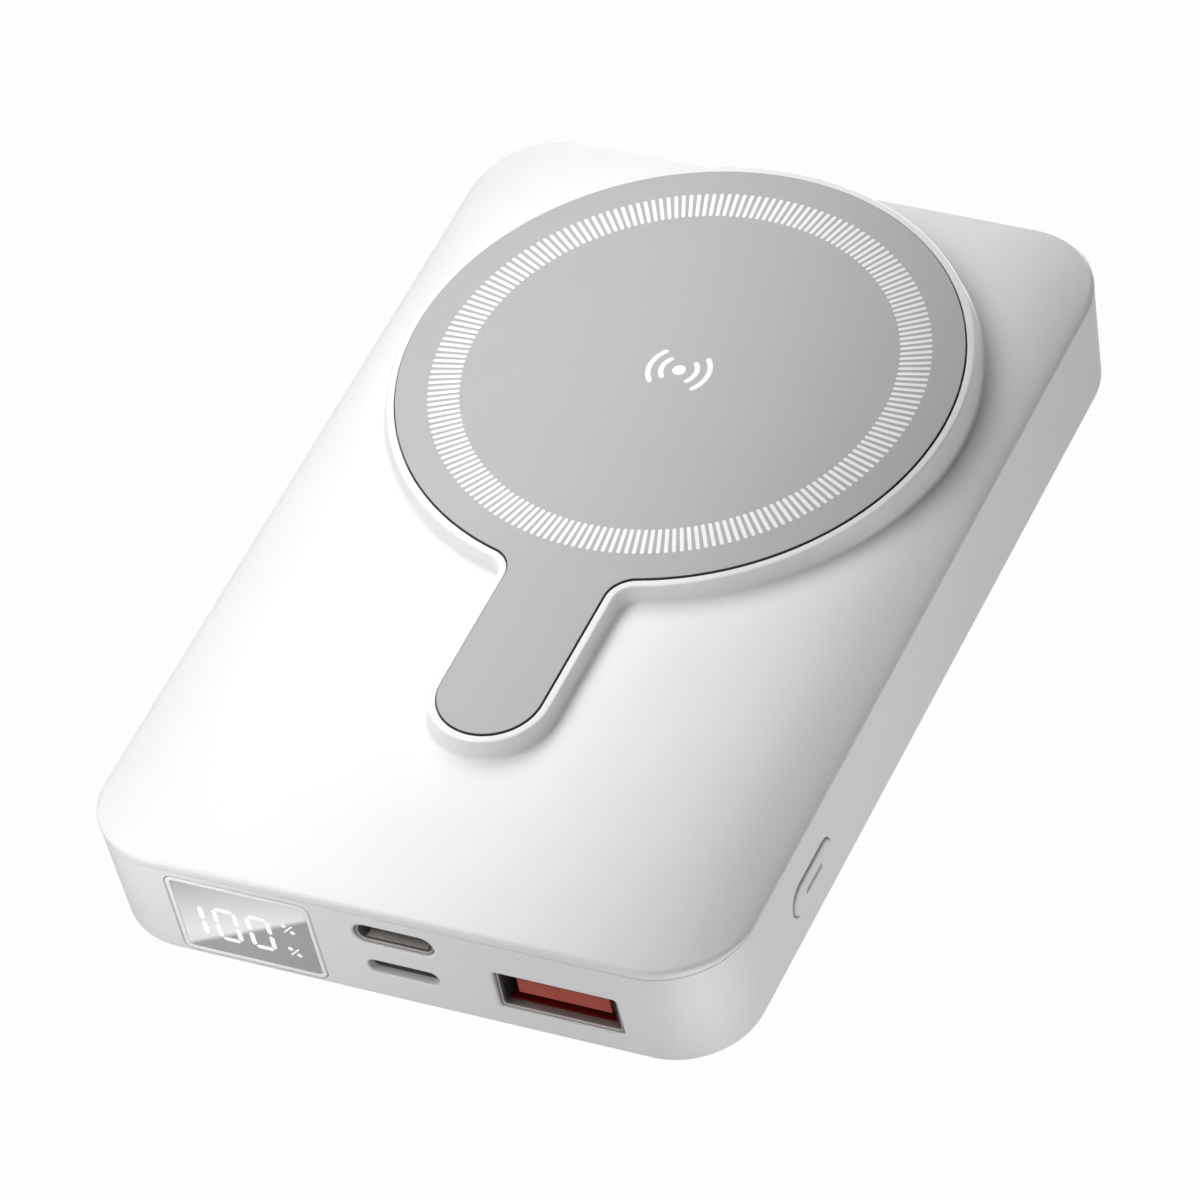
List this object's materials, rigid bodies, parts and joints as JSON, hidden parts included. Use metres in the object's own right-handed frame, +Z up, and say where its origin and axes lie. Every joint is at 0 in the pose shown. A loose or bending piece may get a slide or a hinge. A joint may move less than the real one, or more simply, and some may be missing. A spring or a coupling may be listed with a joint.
{
  "type": "power bank",
  "caption": "Flat wireless power bank with a raised keyhole magnetic charging pad, three sockets and a display window in its front wall, and a side push button.",
  "frame": {"origin": "centre of the underside", "axes": "+Z up out of the charging pad, +Y along the length away from the sockets, +X out of the wall with the push button"},
  "size_m": [0.0746, 0.1118, 0.019],
  "materials": {
    "white_plastic": "white moulded plastic with a fine satin texture",
    "silver_plate": "satin silver plate, lightly coated",
    "adhesive_film": "thin clear-yellow adhesive film",
    "display_window": "polished smoked plastic",
    "display_module": "black moulded display body",
    "socket_metal": "plated steel sleeve",
    "orange_insulator": "moulded orange-red insulator",
    "black_insulator": "moulded black insulator",
    "grey_moulding": "grey moulded plastic",
    "chip_black": "black encapsulant",
    "steel": "zinc plated steel",
    "magnet_plating": "nickel plated magnet",
    "bare_aluminium": "bare aluminium",
    "copper": "enamelled copper wire",
    "ferrite": "matte dark ferrite",
    "cell_pouch": "silver laminated pouch",
    "foam_tape": "white double-sided foam tape",
    "nickel_tab": "nickel strip",
    "circuit_board": "green solder mask on glass laminate",
    "inductor": "pressed iron powder",
    "lead_black": "black insulated wire"
  },
  "bodies": {
    "housing": {"alignment_magnet": "magnet_plating", "battery_cell": "cell_pouch", "battery_tab_negative": "nickel_tab", "battery_tab_positive": "nickel_tab", "battery_tape": "foam_tape", "board_screw_1": "steel", "board_screw_2": "steel", "bottom_shell": "white_plastic", "capacitor_1": "bare_aluminium", "capacitor_2": "bare_aluminium", "charging_coil": "copper", "charging_pad": "silver_plate", "coil_lead_1": "copper", "coil_lead_2": "copper", "coil_tray": "grey_moulding", "controller_chip": "chip_black", "display_window": "display_window", "ferrite_sheet": "ferrite", "heat_shield": "bare_aluminium", "input_port_shell": "socket_metal", "input_port_tongue": "black_insulator", "led_display": "display_module", "magnet_01": "magnet_plating", "magnet_02": "magnet_plating", "magnet_03": "magnet_plating", "magnet_04": "magnet_plating", "magnet_05": "magnet_plating", "magnet_06": "magnet_plating", "magnet_07": "magnet_plating", "magnet_08": "magnet_plating", "magnet_09": "magnet_plating", "magnet_10": "magnet_plating", "magnet_11": "magnet_plating", "magnet_12": "magnet_plating", "magnet_13": "magnet_plating", "magnet_14": "magnet_plating", "magnet_15": "magnet_plating", "magnet_16": "magnet_plating", "magnet_keeper": "steel", "main_board": "circuit_board", "pad_adhesive": "adhesive_film", "power_inductor": "inductor", "switch_body": "grey_moulding", "thermistor": "chip_black", "thermistor_lead": "lead_black", "top_cover": "white_plastic", "usb_a_shell": "socket_metal", "usb_a_tongue": "orange_insulator", "usb_c_shell": "socket_metal", "usb_c_tongue": "black_insulator", "wireless_chip": "chip_black", "wireless_inductor": "inductor"},
    "button": {"power_button": "white_plastic"},
    "plunger": {"switch_plunger": "chip_black"}
  },
  "joints": [
    {"name": "button_press", "type": "slide", "parent": "housing", "child": "button", "axis": [-1, 0, 0], "range_m": [0, 0.0004], "stiffness_N_per_m": 600, "springref_m": -0.002},
    {"name": "plunger_travel", "type": "slide", "parent": "housing", "child": "plunger", "axis": [-1, 0, 0], "range_m": [0, 0.0004]}
  ],
  "couplings": [
    {"joint": "plunger_travel", "follows": "button_press", "ratio": 1}
  ]
}
